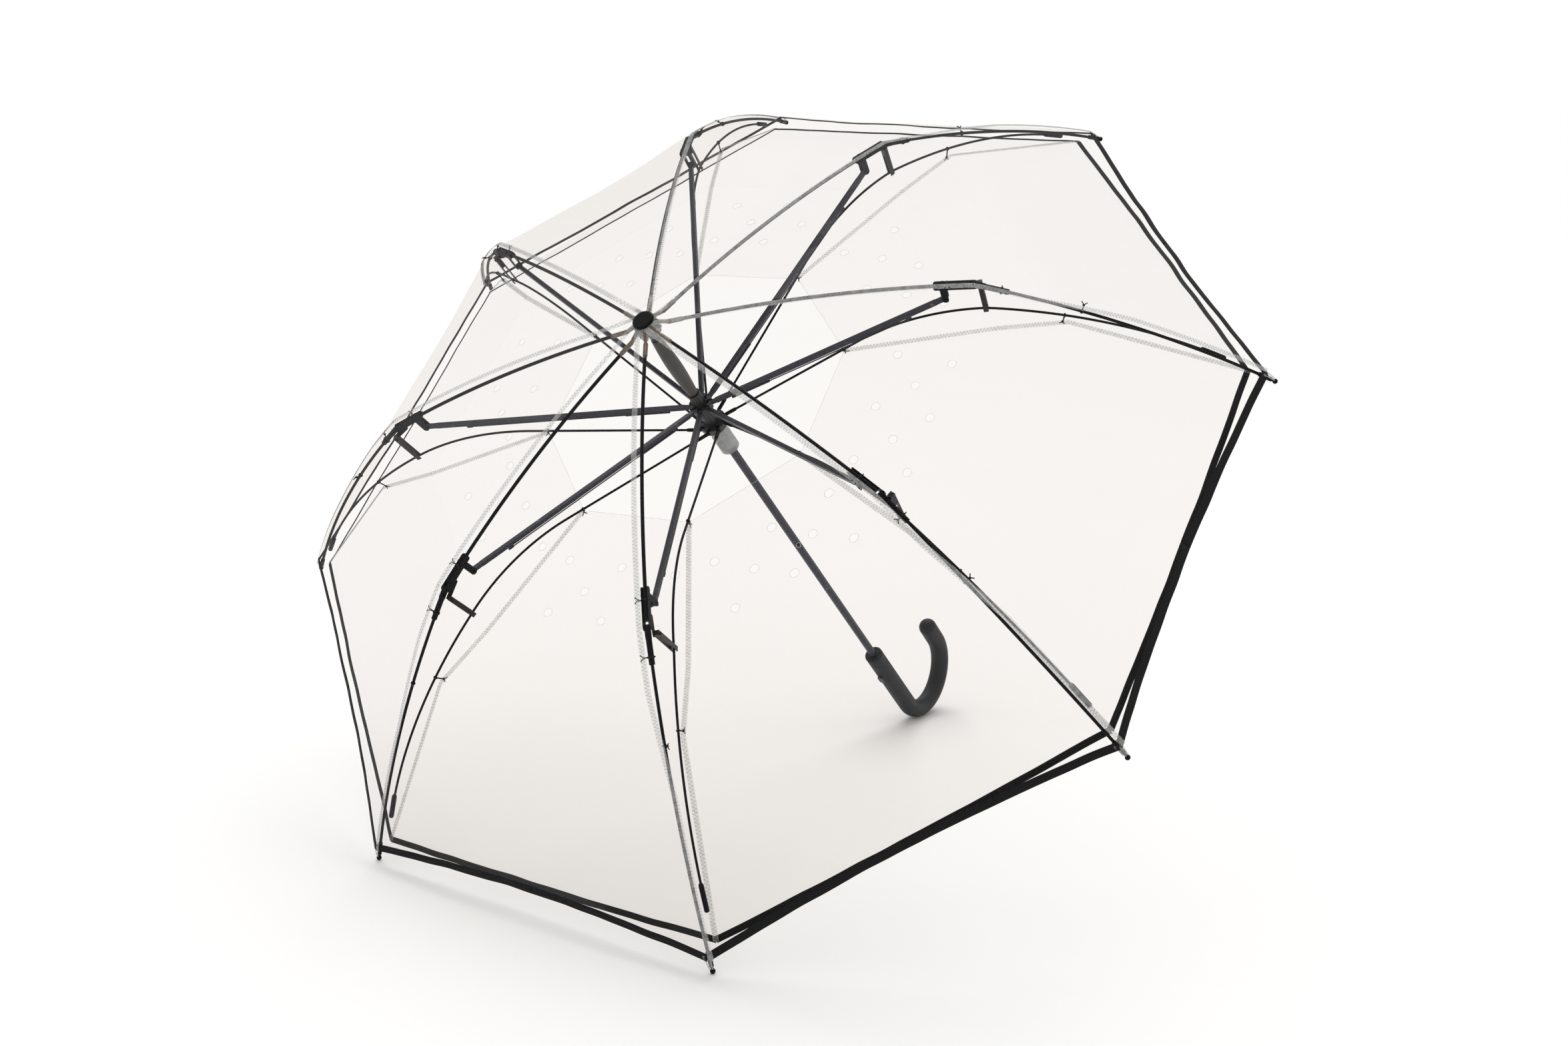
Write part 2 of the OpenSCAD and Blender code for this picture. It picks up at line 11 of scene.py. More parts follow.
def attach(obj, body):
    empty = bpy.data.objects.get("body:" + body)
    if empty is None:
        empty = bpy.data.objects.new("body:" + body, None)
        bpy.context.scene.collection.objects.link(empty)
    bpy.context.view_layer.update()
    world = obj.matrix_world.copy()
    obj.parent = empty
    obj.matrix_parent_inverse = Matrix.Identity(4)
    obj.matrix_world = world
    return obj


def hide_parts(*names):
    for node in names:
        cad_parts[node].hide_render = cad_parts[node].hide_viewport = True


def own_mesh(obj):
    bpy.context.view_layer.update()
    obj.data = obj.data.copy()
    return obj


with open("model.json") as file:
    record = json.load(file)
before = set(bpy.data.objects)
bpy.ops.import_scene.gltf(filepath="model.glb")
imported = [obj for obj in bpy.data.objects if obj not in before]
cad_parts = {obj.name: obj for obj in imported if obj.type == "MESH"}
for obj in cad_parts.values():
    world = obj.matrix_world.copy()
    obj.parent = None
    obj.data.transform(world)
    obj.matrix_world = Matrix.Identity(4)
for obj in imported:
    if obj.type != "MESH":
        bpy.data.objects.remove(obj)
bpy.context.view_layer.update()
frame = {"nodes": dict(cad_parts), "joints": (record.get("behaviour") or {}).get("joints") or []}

# ---------------------------------------------------------------- the frame's own geometry
# A plane point is (radius, drop) in a rib's plane: distance from the shaft's axis and depth below the crown.

N = 8
MM = 0.001
RIBS = range(1, N + 1)
JOINTS = {j["name"]: j for j in frame["joints"]}
PIVOT_LIFT = 4 * MM


def pivot(name):
    return Vector(JOINTS[name]["pos_m"])


def axis(name):
    return Vector(JOINTS[name]["axis"]).normalized()


CROWN_CENTRE = sum((pivot(f"rib_{i}_fold") for i in RIBS), Vector()) / N
UP = (pivot("rib_3_fold") - CROWN_CENTRE).cross(pivot("rib_1_fold") - CROWN_CENTRE).normalized()
BASE = CROWN_CENTRE - UP * PIVOT_LIFT
ACROSS = {i: axis(f"rib_{i}_fold") for i in RIBS}
RADIAL = {i: ACROSS[i].cross(UP) for i in RIBS}
OUT_ACROSS = {i: axis(f"knuckle_{i}") for i in RIBS}
OUT_RADIAL = {i: OUT_ACROSS[i].cross(UP) for i in RIBS}


def plane_point(name, i=1):
    v = pivot(name) - BASE
    return Vector((v.dot(RADIAL[i]), -v.dot(UP)))


KNUCKLE = plane_point("knuckle_1")
THIN_RING = plane_point("thin_1_pivot")

ROOT = Vector((20, 0.8)) * MM
TIP = Vector((500.34, 243)) * MM
INNER_BEND = math.radians(15)
OUTER_BEND = math.radians(16.5)
BRACKET_END = Vector((283.5, 86.5)) * MM
CLAMP = Vector((461, 204)) * MM
SIDE = 6 * MM
ROD_OUTER = 1.4 * MM
THIN_R = 1.1 * MM


def neighbour(i, step):
    return (i - 1 + step) % N + 1


def spot(i, p, side=0.0):
    """World place of a point in rib i's plane; beyond the knuckle the plane is yawed, as the ribs are."""
    beyond = max(0.0, p[0] - KNUCKLE[0])
    inner = min(p[0], KNUCKLE[0])
    return BASE + RADIAL[i] * inner + OUT_RADIAL[i] * beyond + ACROSS[i] * side - UP * p[1]


def arc_point(p, q, bend, t, out=0.0):
    """Point a share t along the arc that bends over from p to q, moved outwards by a distance."""
    chord = q - p
    radius = chord.length / (2 * math.sin(bend / 2))
    start = math.atan2(chord.y, chord.x) - bend / 2
    centre = p + radius * Vector((-math.sin(start), math.cos(start)))
    turn = start + bend * t
    return centre + (radius + out) * Vector((math.sin(turn), -math.cos(turn)))


def on_inner_rib(t, out=0.0):
    return arc_point(ROOT, KNUCKLE, INNER_BEND, t, out)


def on_outer_rib(t, out=0.0):
    return arc_point(KNUCKLE, TIP, OUTER_BEND, t, out)


def rib_plane_point(radius, out=0.0):
    """Point of the main rib at a radius."""
    low, high = 0.0, 1.0
    curve = on_inner_rib if radius < KNUCKLE.x else on_outer_rib
    for _ in range(30):
        middle = (low + high) / 2
        if curve(middle, out).x < radius:
            low = middle
        else:
            high = middle
    return curve(low, out)


# ---------------------------------------------------------------- meshes


def mesh_object(name, points, faces, material, slots=None):
    """Smooth-shaded mesh of one piece, linked to the scene."""
    data = bpy.data.meshes.new(name)
    data.from_pydata([tuple(p) for p in points], [], [tuple(f) for f in faces])
    for m in material if isinstance(material, (list, tuple)) else [material]:
        data.materials.append(m)
    if slots:
        data.polygons.foreach_set("material_index", slots)
    data.polygons.foreach_set("use_smooth", [True] * len(data.polygons))
    data.update()
    made = bpy.data.objects.new(name, data)
    bpy.context.scene.collection.objects.link(made)
    return made


class Shape:
    """Collects points and faces of one piece."""

    def __init__(self):
        self.points = []
        self.faces = []
        self.slots = []

    def add(self, points, faces, slot=0):
        first = len(self.points)
        self.points.extend(points)
        self.faces.extend([tuple(first + k for k in f) for f in faces])
        self.slots.extend([slot] * len(faces))

    def make(self, name, material):
        return mesh_object(name, self.points, self.faces, material, self.slots)


def frames_along(path, hint):
    """Direction, side and normal at each point of a path; hint is roughly the normal."""
    found = []
    for k, p in enumerate(path):
        ahead = path[min(k + 1, len(path) - 1)]
        behind = path[max(k - 1, 0)]
        way = (ahead - behind).normalized()
        normal = hint[k] if isinstance(hint, list) else hint
        aside = way.cross(normal)
        if aside.length < 1e-6:
            aside = way.orthogonal()
        aside.normalize()
        found.append((p, way, aside, aside.cross(way)))
    return found


def sweep(shape, path, outline, hint, slot=0, scale=None):
    """Sweeps a closed outline of (aside, normal) pairs along a path, with both ends capped."""
    rings = frames_along(path, hint)
    n = len(outline)
    points = []
    for k, (p, _, aside, normal) in enumerate(rings):
        size = scale(k / (len(rings) - 1)) if scale else 1.0
        points.extend([p + (aside * x + normal * y) * size for x, y in outline])
    faces = [
        (k * n + c, k * n + (c + 1) % n, (k + 1) * n + (c + 1) % n, (k + 1) * n + c)
        for k in range(len(rings) - 1)
        for c in range(n)
    ]
    faces.append(tuple(reversed(range(n))))
    faces.append(tuple(range((len(rings) - 1) * n, len(rings) * n)))
    shape.add(points, faces, slot)


def round_outline(radius, sides=8):
    return [
        (radius * math.cos(2 * math.pi * k / sides), radius * math.sin(2 * math.pi * k / sides))
        for k in range(sides)
    ]


def tape_outline(width, thick):
    """Flat band with rounded edges."""
    w, h = width / 2, thick / 2
    return [
        (-w, 0), (-w + h, -h), (-w / 3, -h * 1.05), (w / 3, -h * 1.05), (w - h, -h),
        (w, 0), (w - h, h), (w / 3, h * 1.05), (-w / 3, h * 1.05), (-w + h, h),
    ]


def ball(shape, centre, radius, slot=0, rings=6, sides=10):
    """Small closed ball."""
    points = [centre + Vector((0, 0, radius))]
    for a in range(1, rings):
        z = radius * math.cos(math.pi * a / rings)
        r = radius * math.sin(math.pi * a / rings)
        for b in range(sides):
            turn = 2 * math.pi * b / sides
            points.append(centre + Vector((r * math.cos(turn), r * math.sin(turn), z)))
    points.append(centre - Vector((0, 0, radius)))
    last = len(points) - 1
    faces = [(0, 1 + b, 1 + (b + 1) % sides) for b in range(sides)]
    for a in range(rings - 2):
        for b in range(sides):
            k = 1 + a * sides
            faces.append((k + b, k + sides + b, k + sides + (b + 1) % sides, k + (b + 1) % sides))
    k = 1 + (rings - 2) * sides
    faces.extend([(k + b, last, k + (b + 1) % sides) for b in range(sides)])
    shape.add(points, faces, slot)


# ---------------------------------------------------------------- material helpers


class Nodes:
    """Thin wrapper that makes and links shader nodes."""

    def __init__(self, name):
        self.material = bpy.data.materials.new(name)
        self.material.use_nodes = True
        self.tree = self.material.node_tree
        self.tree.nodes.clear()
        self.out = self.tree.nodes.new("ShaderNodeOutputMaterial")
        self.place = self.tree.nodes.new("ShaderNodeTexCoord").outputs["Object"]

    def new(self, kind, **settings):
        made = self.tree.nodes.new("ShaderNode" + kind)
        for key, value in settings.items():
            setattr(made, key, value)
        return made

    def feed(self, socket, value):
        if isinstance(value, bpy.types.NodeSocket):
            self.tree.links.new(value, socket)
        else:
            socket.default_value = value

    def noise(self, scale, detail=3.0, rough=0.55, stretch=None):
        made = self.new("TexNoise")
        source = self.stretched(stretch) if stretch else self.place
        self.feed(made.inputs["Vector"], source)
        made.inputs["Scale"].default_value = scale
        made.inputs["Detail"].default_value = detail
        made.inputs["Roughness"].default_value = rough
        return made.outputs["Fac"]

    def stretched(self, scale):
        made = self.new("Mapping")
        self.feed(made.inputs["Vector"], self.place)
        made.inputs["Scale"].default_value = scale
        return made.outputs["Vector"]

    def wave(self, scale, direction, distortion):
        made = self.new("TexWave", bands_direction=direction)
        self.feed(made.inputs["Vector"], self.place)
        made.inputs["Scale"].default_value = scale
        made.inputs["Distortion"].default_value = distortion
        return made.outputs["Fac"]

    def math(self, operation, a, b=0.5):
        made = self.new("Math", operation=operation)
        self.feed(made.inputs[0], a)
        self.feed(made.inputs[1], b)
        return made.outputs[0]

    def range(self, value, low, high, to_low, to_high):
        made = self.new("MapRange")
        for socket, given in zip(made.inputs, (value, low, high, to_low, to_high)):
            self.feed(socket, given)
        return made.outputs[0]

    def mix(self, share, a, b):
        made = self.new("Mix", data_type="RGBA")
        self.feed(made.inputs[0], share)
        self.feed(made.inputs[6], a)
        self.feed(made.inputs[7], b)
        return made.outputs[2]

    def bump(self, height, strength, distance):
        made = self.new("Bump")
        self.feed(made.inputs["Height"], height)
        made.inputs["Strength"].default_value = strength
        made.inputs["Distance"].default_value = distance
        return made.outputs["Normal"]

    def shader(self, colour, roughness, normal=None, **sockets):
        made = self.new("BsdfPrincipled")
        self.feed(made.inputs["Base Color"], colour)
        self.feed(made.inputs["Roughness"], roughness)
        if normal is not None:
            self.feed(made.inputs["Normal"], normal)
        for key, value in sockets.items():
            self.feed(made.inputs[key.replace("_", " ")], value)
        return made.outputs[0]

    def done(self, shader):
        self.tree.links.new(shader, self.out.inputs["Surface"])
        return self.material


def rgb(r, g, b):
    return (r, g, b, 1.0)


# ---------------------------------------------------------------- materials


def film_material(name, tint, haze, creases):
    """Clear soft film: lets light straight through, with gloss, faint haze and creases."""
    n = Nodes(name)
    crease = n.noise(9.0, 2.0, 0.5, stretch=(1.0, 1.0, 0.45))
    normal = n.bump(crease, 1.0, creases)
    cloudy = n.range(n.noise(5.0, 4.0, 0.6), 0.3, 0.75, haze * 0.4, haze * 1.8)
    edge = n.new("LayerWeight")
    edge.inputs["Blend"].default_value = 0.24
    share = n.math("ADD", n.math("MULTIPLY", edge.outputs["Fresnel"], 0.035), cloudy)
    clear = n.new("BsdfTransparent")
    clear.inputs["Color"].default_value = tint
    rough = n.range(n.noise(14.0, 3.0), 0.3, 0.7, 0.1, 0.2)
    solid = n.shader(rgb(0.8, 0.81, 0.815), rough, normal, IOR=1.5)
    mixed = n.new("MixShader")
    n.feed(mixed.inputs[0], share)
    n.tree.links.new(clear.outputs[0], mixed.inputs[1])
    n.tree.links.new(solid, mixed.inputs[2])
    return n.done(mixed.outputs[0])


def edge_material(name):
    """Cut or welded edge of the film, which gathers light and reads whiter."""
    n = Nodes(name)
    clear = n.new("BsdfTransparent")
    clear.inputs["Color"].default_value = rgb(0.96, 0.96, 0.955)
    solid = n.shader(rgb(0.82, 0.825, 0.82), n.range(n.noise(400.0), 0.3, 0.7, 0.18, 0.35), IOR=1.5)
    mixed = n.new("MixShader")
    n.feed(mixed.inputs[0], n.range(n.noise(180.0, 2.0), 0.3, 0.7, 0.1, 0.24))
    n.tree.links.new(clear.outputs[0], mixed.inputs[1])
    n.tree.links.new(solid, mixed.inputs[2])
    return n.done(mixed.outputs[0])


def stitch_material():
    """Pale nylon thread."""
    n = Nodes("stitch_thread")
    strands = n.noise(2500.0, 2.0, 0.6)
    colour = n.mix(strands, rgb(0.3, 0.3, 0.29), rgb(0.52, 0.52, 0.5))
    return n.done(n.shader(colour, 0.55, n.bump(strands, 0.4, 0.0002)))


def black_thread_material():
    """Waxed black thread."""
    n = Nodes("tie_thread")
    strands = n.noise(1800.0, 2.0, 0.6)
    colour = n.mix(strands, rgb(0.004, 0.004, 0.005), rgb(0.016, 0.016, 0.017))
    return n.done(n.shader(colour, 0.6, n.bump(strands, 0.6, 0.0003), Specular_IOR_Level=0.25))


def binding_material():
    """Black woven binding tape: fine ribs across a plain weave, slightly faded in random patches."""
    n = Nodes("binding_tape")
    a = n.wave(420.0, "X", 0.4)
    b = n.wave(420.0, "Y", 0.4)
    c = n.wave(420.0, "Z", 0.4)
    weave = n.math("MULTIPLY", n.math("ADD", a, b), n.math("ADD", c, 0.6))
    lint = n.noise(700.0, 3.0, 0.7)
    colour = n.mix(n.math("MULTIPLY", weave, lint), rgb(0.002, 0.002, 0.0025), rgb(0.012, 0.012, 0.013))
    rough = n.range(lint, 0.3, 0.7, 0.62, 0.82)
    return n.done(n.shader(colour, rough, n.bump(weave, 0.5, 0.0003), Specular_IOR_Level=0.18))


def distance_from_crown(n):
    """Distance of the shaded point from the middle of the crown, at rest."""
    made = n.new("VectorMath", operation="DISTANCE")
    n.feed(made.inputs[0], n.place)
    made.inputs[1].default_value = tuple(CROWN_CENTRE)
    return made.outputs["Value"]


def rib_material():
    """Pultruded black fibreglass with fine streaks; its crimped root by the crown is bare brownish metal."""
    n = Nodes("rib_fibre")
    streaks = n.noise(90.0, 4.0, 0.7)
    grain = n.noise(900.0, 2.0, 0.6)
    fibre = n.mix(streaks, rgb(0.003, 0.003, 0.0035), rgb(0.01, 0.01, 0.011))
    metal = n.mix(n.noise(350.0, 4.0, 0.6), rgb(0.09, 0.07, 0.055), rgb(0.34, 0.29, 0.24))
    root = n.range(distance_from_crown(n), 34 * MM, 37 * MM, 1.0, 0.0)
    rough = n.range(grain, 0.3, 0.7, 0.36, 0.5)
    shade = n.shader(
        n.mix(root, fibre, metal),
        rough,
        n.bump(grain, 0.25, 0.0002),
        Metallic=n.math("MULTIPLY", root, 0.9),
        Specular_IOR_Level=0.08,
    )
    return n.done(shade)


def black_metal_material(name, low, high, rough_low, rough_high, metallic):
    """Painted or blackened pressed metal with random rubbed specks and fine scratches."""
    n = Nodes(name)
    wear = n.noise(140.0, 5.0, 0.65)
    scratches = n.noise(60.0, 4.0, 0.7, stretch=(1.0, 9.0, 1.0))
    speck = n.range(wear, 0.62, 0.74, 0.0, 1.0)
    paint = n.mix(scratches, low, high)
    colour = n.mix(n.math("MULTIPLY", speck, 0.35), paint, rgb(0.3, 0.3, 0.32))
    rough = n.range(scratches, 0.3, 0.7, rough_low, rough_high)
    height = n.math("ADD", n.math("MULTIPLY", scratches, 0.5), n.math("MULTIPLY", wear, 0.5))
    return n.done(n.shader(colour, rough, n.bump(height, 0.3, 0.0003), Metallic=metallic))


def plastic_material(name, low, high, rough_low, rough_high, grain=500.0, depth=0.0002, **sockets):
    """Moulded plastic with a fine grain and faint mottling."""
    n = Nodes(name)
    mottle = n.noise(35.0, 4.0, 0.6)
    texture = n.noise(grain, 2.0, 0.6)
    colour = n.mix(mottle, low, high)
    rough = n.range(n.noise(70.0, 3.0), 0.3, 0.7, rough_low, rough_high)
    return n.done(n.shader(colour, rough, n.bump(texture, 0.35, depth), **sockets))


def clear_plastic_material(name, tint, share_low, share_high):
    """Clear moulded part: mostly see-through, with a milky body and a bright gloss."""
    n = Nodes(name)
    normal = n.bump(n.noise(160.0, 3.0, 0.6), 0.5, 0.0006)
    edge = n.new("LayerWeight")
    edge.inputs["Blend"].default_value = 0.35
    n.feed(edge.inputs["Normal"], normal)
    share = n.range(edge.outputs["Fresnel"], 0.0, 1.0, share_low, share_high)
    clear = n.new("BsdfTransparent")
    clear.inputs["Color"].default_value = tint
    body = n.mix(n.noise(120.0, 3.0), rgb(0.42, 0.43, 0.43), rgb(0.8, 0.81, 0.81))
    solid = n.shader(body, n.range(n.noise(200.0), 0.3, 0.7, 0.05, 0.15), normal, IOR=1.5)
    mixed = n.new("MixShader")
    n.feed(mixed.inputs[0], share)
    n.tree.links.new(clear.outputs[0], mixed.inputs[1])
    n.tree.links.new(solid, mixed.inputs[2])
    return n.done(mixed.outputs[0])


FILM_OUTER = film_material("film_outer", rgb(0.928, 0.914, 0.902), 0.005, 0.004)
FILM_INNER = film_material("film_inner", rgb(0.965, 0.957, 0.95), 0.005, 0.003)
FILM_EDGE = edge_material("film_edge")
STITCH = stitch_material()
TIE = black_thread_material()
BINDING = binding_material()
RIB = rib_material()
THIN_ROD = plastic_material(
    "thin_fibre", rgb(0.003, 0.003, 0.0035), rgb(0.01, 0.01, 0.011), 0.36, 0.5, 900.0, Specular_IOR_Level=0.08
)
SHAFT = black_metal_material(
    "shaft_metal", rgb(0.028, 0.029, 0.04), rgb(0.05, 0.051, 0.068), 0.34, 0.46, 0.5
)
STRETCHER = black_metal_material(
    "stretcher_metal", rgb(0.016, 0.017, 0.024), rgb(0.05, 0.052, 0.066), 0.28, 0.45, 0.7
)
BRACKET = black_metal_material(
    "bracket_metal", rgb(0.008, 0.0075, 0.007), rgb(0.035, 0.032, 0.029), 0.28, 0.46, 0.7
)
SPRING = black_metal_material("spring_steel", rgb(0.4, 0.4, 0.42), rgb(0.62, 0.62, 0.64), 0.22, 0.35, 1.0)
CAP = plastic_material(
    "cap_black", rgb(0.002, 0.002, 0.0025), rgb(0.006, 0.006, 0.007), 0.25, 0.35, 300.0, 0.0001,
    Specular_IOR_Level=0.1,
)
SLEEVE = plastic_material("sleeve_plastic", rgb(0.035, 0.033, 0.03), rgb(0.07, 0.066, 0.06), 0.36, 0.5)
RUNNER = plastic_material("runner_plastic", rgb(0.006, 0.006, 0.007), rgb(0.022, 0.021, 0.022), 0.22, 0.4)
NOTCH = clear_plastic_material("notch_clear", rgb(0.93, 0.93, 0.92), 0.1, 0.8)
COLLAR = clear_plastic_material("collar_clear", rgb(0.9, 0.905, 0.905), 0.1, 0.85)
HANDLE = plastic_material(
    "handle_plastic", rgb(0.012, 0.0125, 0.0155), rgb(0.02, 0.0205, 0.0245), 0.46, 0.6, 1400.0, 0.00025,
    Specular_IOR_Level=0.26,
)
BUTTON = plastic_material(
    "button_plastic", rgb(0.009, 0.0095, 0.012), rgb(0.015, 0.0155, 0.019), 0.38, 0.5, 900.0
)

# ---------------------------------------------------------------- films

FILM_GAP = 4.4 * MM
CROWN_FILM = [Vector(p) * MM for p in ((5.2, -6.5), (9, -6.6), (13, -6.5), (18, -5.9))]
HEM_T = 0.96
HEM_SAG = 8 * MM
HEM_SAG_INNER = -2 * MM
VENT_TIE = Vector((148, 97)) * MM
MID_TIE = Vector((346, 124)) * MM
END_TIE = Vector((481, 231)) * MM
OUTER_LENGTH = (TIP - KNUCKLE).length * HEM_T
ACROSS_CELLS = 14


def outer_inside_line(t):
    """Outer film over a rib, from the crown (t = 0) to the knuckle (t = 1)."""
    split = 0.12
    if t < split:
        k = t / split * (len(CROWN_FILM) - 1)
        low = min(int(k), len(CROWN_FILM) - 2)
        return CROWN_FILM[low].lerp(CROWN_FILM[low + 1], k - low)
    first = CROWN_FILM[-1]
    share = (t - split) / (1 - split)
    on_rib = on_inner_rib(0.04 + 0.96 * share, FILM_GAP)
    return first.lerp(on_rib, min(1.0, share * 12))


def outer_outside_line(t):
    """Outer film over a rib, from the knuckle (t = 0) to the hem (t = 1)."""
    on_rib = on_outer_rib(HEM_T * t, FILM_GAP)
    return on_inner_rib(1.0, FILM_GAP).lerp(on_rib, min(1.0, t * 30))


def inner_straight(radius):
    """Inner film at a radius: straight between its three ties."""
    if radius < MID_TIE.x:
        return VENT_TIE.lerp(MID_TIE, (radius - VENT_TIE.x) / (MID_TIE.x - VENT_TIE.x))
    return MID_TIE.lerp(END_TIE, (radius - MID_TIE.x) / (END_TIE.x - MID_TIE.x))


def inner_inside_line(t):
    return inner_straight(VENT_TIE.x + (KNUCKLE.x - VENT_TIE.x) * t)


def inner_outside_line(t):
    return inner_straight(KNUCKLE.x + (END_TIE.x - KNUCKLE.x) * t)


def panel_out(i, j):
    """Outward direction at the middle of the panel between ribs i and j."""
    return (RADIAL[i] + RADIAL[j] + UP * 2.2).normalized()


def ripple(p, size, height):
    return noise.noise(p / size) * height


class Film:
    """One film between neighbouring ribs, from a line over the rib to the same line over the next one."""

    def __init__(self, line, side, sag, slack, ripples):
        self.line = line
        self.side = side
        self.sag = sag
        self.slack = slack
        self.ripples = ripples

    def place(self, i, step, u, t):
        """Point at a share u of the way from rib i to its neighbour, and t along the line."""
        j = neighbour(i, step)
        hump = 4 * u * (1 - u)
        p = self.line(t - self.sag * hump * t * t)
        flat = spot(i, p, self.side).lerp(spot(j, p, self.side), u)
        wide = p.x
        drop = self.slack(t) * hump
        wave = ripple(flat, 0.07, self.ripples) * hump + ripple(flat, 0.024, self.ripples * 0.22) * hump
        return flat + panel_out(i, j) * (wave - drop) * min(1.0, wide / 0.15)


OUTER_IN = Film(outer_inside_line, 0.0, 0.0, lambda t: 4 * MM * t, 1.6 * MM)
OUTER_OUT = Film(outer_outside_line, 0.0, HEM_SAG / OUTER_LENGTH, lambda t: 4 * MM * (1 - 0.4 * t), 1.6 * MM)
INNER_IN = Film(inner_inside_line, SIDE, 0.0, lambda t: 0.0, 1.1 * MM)
INNER_OUT = Film(inner_outside_line, SIDE, HEM_SAG_INNER / 0.23, lambda t: 0.0, 1.1 * MM)


def gather(piece):
    """Gives the piece its own copy of its mesh."""
    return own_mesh(piece)


def grid_faces(across, along, flip):
    row = along + 1
    faces = []
    for a in range(across):
        for b in range(along):
            k = a * row + b
            face = (k, k + 1, k + row + 1, k + row)
            faces.append(face if flip else tuple(reversed(face)))
    return faces


def half_panel(film, i, step, along):
    points = [
        film.place(i, step, 0.5 * a / ACROSS_CELLS, b / along)
        for a in range(ACROSS_CELLS + 1)
        for b in range(along + 1)
    ]
    return points, grid_faces(ACROSS_CELLS, along, step > 0)


VENT_R = 4.2 * MM
VENT_ROWS = ((201 * MM, (-57, 0, 57)), (230 * MM, (-29, 29)), (256 * MM, (-58, 0, 58)))
VENT_SIDES = 20


def vent_places(step):
    """(across, radius) of the vents of one half panel, measured from the panel's middle towards rib i."""
    found = []
    for radius, places in VENT_ROWS:
        for x in places:
            away = step * (x * MM + SIDE)
            if away > VENT_R:
                found.append((away, radius))
    return found


def vented_half(i, step):
    """Inner half panel with its round vents: a flat mesh with holes, laid on the film."""
    film = INNER_IN
    rows = 16
    near = (VENT_TIE.x, KNUCKLE.x)
    width = 2 * math.sin(math.pi / N)
    flat, edges = [], []

    def flat_point(away, radius):
        return Vector((away, radius))

    def loop(points):
        first = len(flat)
        flat.extend(points)
        edges.extend([(first + k, first + (k + 1) % len(points)) for k in range(len(points))])

    border = []
    for k in range(rows):
        border.append(flat_point(0.0, near[0] + (near[1] - near[0]) * k / rows))
    for k in range(ACROSS_CELLS):
        border.append(flat_point(near[1] * width / 2 * k / ACROSS_CELLS, near[1]))
    for k in range(rows):
        r = near[1] + (near[0] - near[1]) * k / rows
        border.append(flat_point(r * width / 2, r))
    for k in range(ACROSS_CELLS):
        border.append(flat_point(near[0] * width / 2 * (1 - k / ACROSS_CELLS), near[0]))
    loop(border)
    vents = vent_places(step)
    for away, radius in vents:
        loop(
            [
                flat_point(
                    away + VENT_R * math.cos(2 * math.pi * k / VENT_SIDES),
                    radius + VENT_R * math.sin(2 * math.pi * k / VENT_SIDES),
                )
                for k in range(VENT_SIDES)
            ]
        )
    for a in range(1, ACROSS_CELLS):
        for b in range(1, rows):
            r = near[0] + (near[1] - near[0]) * b / rows
            p = flat_point(r * width / 2 * a / ACROSS_CELLS, r)
            if all((p - Vector(v)).length > VENT_R * 1.35 for v in vents):
                flat.append(p)
    points, _, faces, _, _, _ = delaunay_2d_cdt(flat, edges, [], 1, 1e-7)
    kept = []
    for f in faces:
        middle = sum((points[k] for k in f), Vector((0, 0))) / len(f)
        if all((middle - Vector(v)).length > VENT_R * 0.97 for v in vents):
            kept.append(f if step < 0 else tuple(reversed(f)))

    def raised(p):
        t = (p[1] - near[0]) / (near[1] - near[0])
        u = 0.5 - p[0] / (p[1] * width)
        return film.place(i, step, u, t)

    shape = Shape()
    shape.add([raised(p) for p in points], kept)
    for away, radius in vents:
        ring = [
            raised(
                Vector(
                    (
                        away + VENT_R * math.cos(2 * math.pi * k / 28),
                        radius + VENT_R * math.sin(2 * math.pi * k / 28),
                    )
                )
            )
            for k in range(28)
        ]
        rim(shape, ring, 0.32 * MM, 1)
    return shape


def rim(shape, ring, radius, slot):
    """Closed bead round a ring of points."""
    n, sides = len(ring), 6
    centre = sum(ring, Vector()) / n
    normal = (ring[0] - centre).cross(ring[n // 4] - centre).normalized()
    points = []
    for p in ring:
        out = (p - centre).normalized()
        for k in range(sides):
            turn = 2 * math.pi * k / sides
            points.append(p + out * radius * math.cos(turn) + normal * radius * math.sin(turn))
    faces = [
        (
            k * sides + c,
            k * sides + (c + 1) % sides,
            ((k + 1) % n) * sides + (c + 1) % sides,
            ((k + 1) % n) * sides + c,
        )
        for k in range(n)
        for c in range(sides)
    ]
    shape.add(points, faces, slot)


SIDE_LETTER = {1: "a", -1: "b"}


def outer_films(i, step):
    shape = Shape()
    shape.add(*half_panel(OUTER_IN, i, step, 26))
    inside = shape.make(f"film_outer_upper_{i}{SIDE_LETTER[step]}", FILM_OUTER)
    gather(inside)
    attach(inside, f"rib_inner_{i}")
    shape = Shape()
    shape.add(*half_panel(OUTER_OUT, i, step, 26))
    outside = shape.make(f"film_outer_lower_{i}{SIDE_LETTER[step]}", FILM_OUTER)
    gather(outside)
    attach(outside, f"rib_outer_{i}")


def inner_films(i, step):
    shape = vented_half(i, step)
    edge = [INNER_IN.place(i, step, 0.5 * a / 20, 0.0) for a in range(21)]
    sweep(shape, edge, round_outline(0.3 * MM, 6), UP, 1)
    inside = shape.make(f"film_inner_upper_{i}{SIDE_LETTER[step]}", [FILM_INNER, FILM_EDGE])
    gather(
        inside
    )
    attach(inside, f"thin_inner_{i}")
    shape = Shape()
    shape.add(*half_panel(INNER_OUT, i, step, 24))
    outside = shape.make(f"film_inner_lower_{i}{SIDE_LETTER[step]}", FILM_INNER)
    gather(
        outside
    )
    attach(outside, f"rib_outer_{i}")


# ---------------------------------------------------------------- hems, seams and ties

OUTER_HEM_W = 7.4 * MM
INNER_HEM_W = 6.0 * MM
HEM_THICK = 1.1 * MM
SEAM_W = 5.4 * MM
THREAD_R = 0.5 * MM


